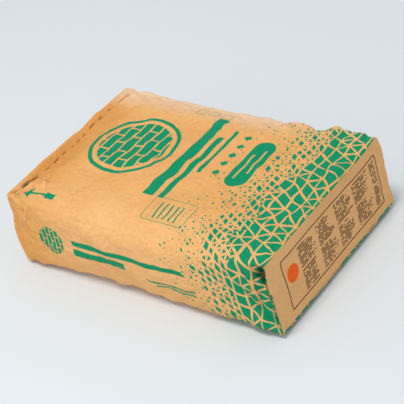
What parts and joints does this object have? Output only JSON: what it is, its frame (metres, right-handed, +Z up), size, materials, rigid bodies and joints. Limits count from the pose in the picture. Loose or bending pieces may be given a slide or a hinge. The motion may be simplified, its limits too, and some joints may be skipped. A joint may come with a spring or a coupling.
{
  "type": "cement bag",
  "caption": "Full 25 kg paper valve sack of cement lying flat, with folded block ends, pasted cover patches and a closed filling valve at one corner.",
  "frame": {"origin": "on the floor, under the middle of the lying sack", "axes": "+Y along the sack from the plain end to the valve end, +Z up, +X to the right of someone who looks along +Y"},
  "size_m": [0.34, 0.4554, 0.128],
  "materials": {
    "paper_sack": "uncoated kraft paper, lightly creased, printed green",
    "cover_patch": "uncoated kraft paper, pasted",
    "valve_sleeve": "uncoated kraft paper",
    "cement_fill": "fine grey powder"
  },
  "bodies": {
    "root": {"paper_sack": "paper_sack", "bottom_cover_patch": "cover_patch", "valve_cover_patch": "cover_patch", "valve_sleeve": "valve_sleeve", "cement_fill": "cement_fill"}
  },
  "joints": []
}
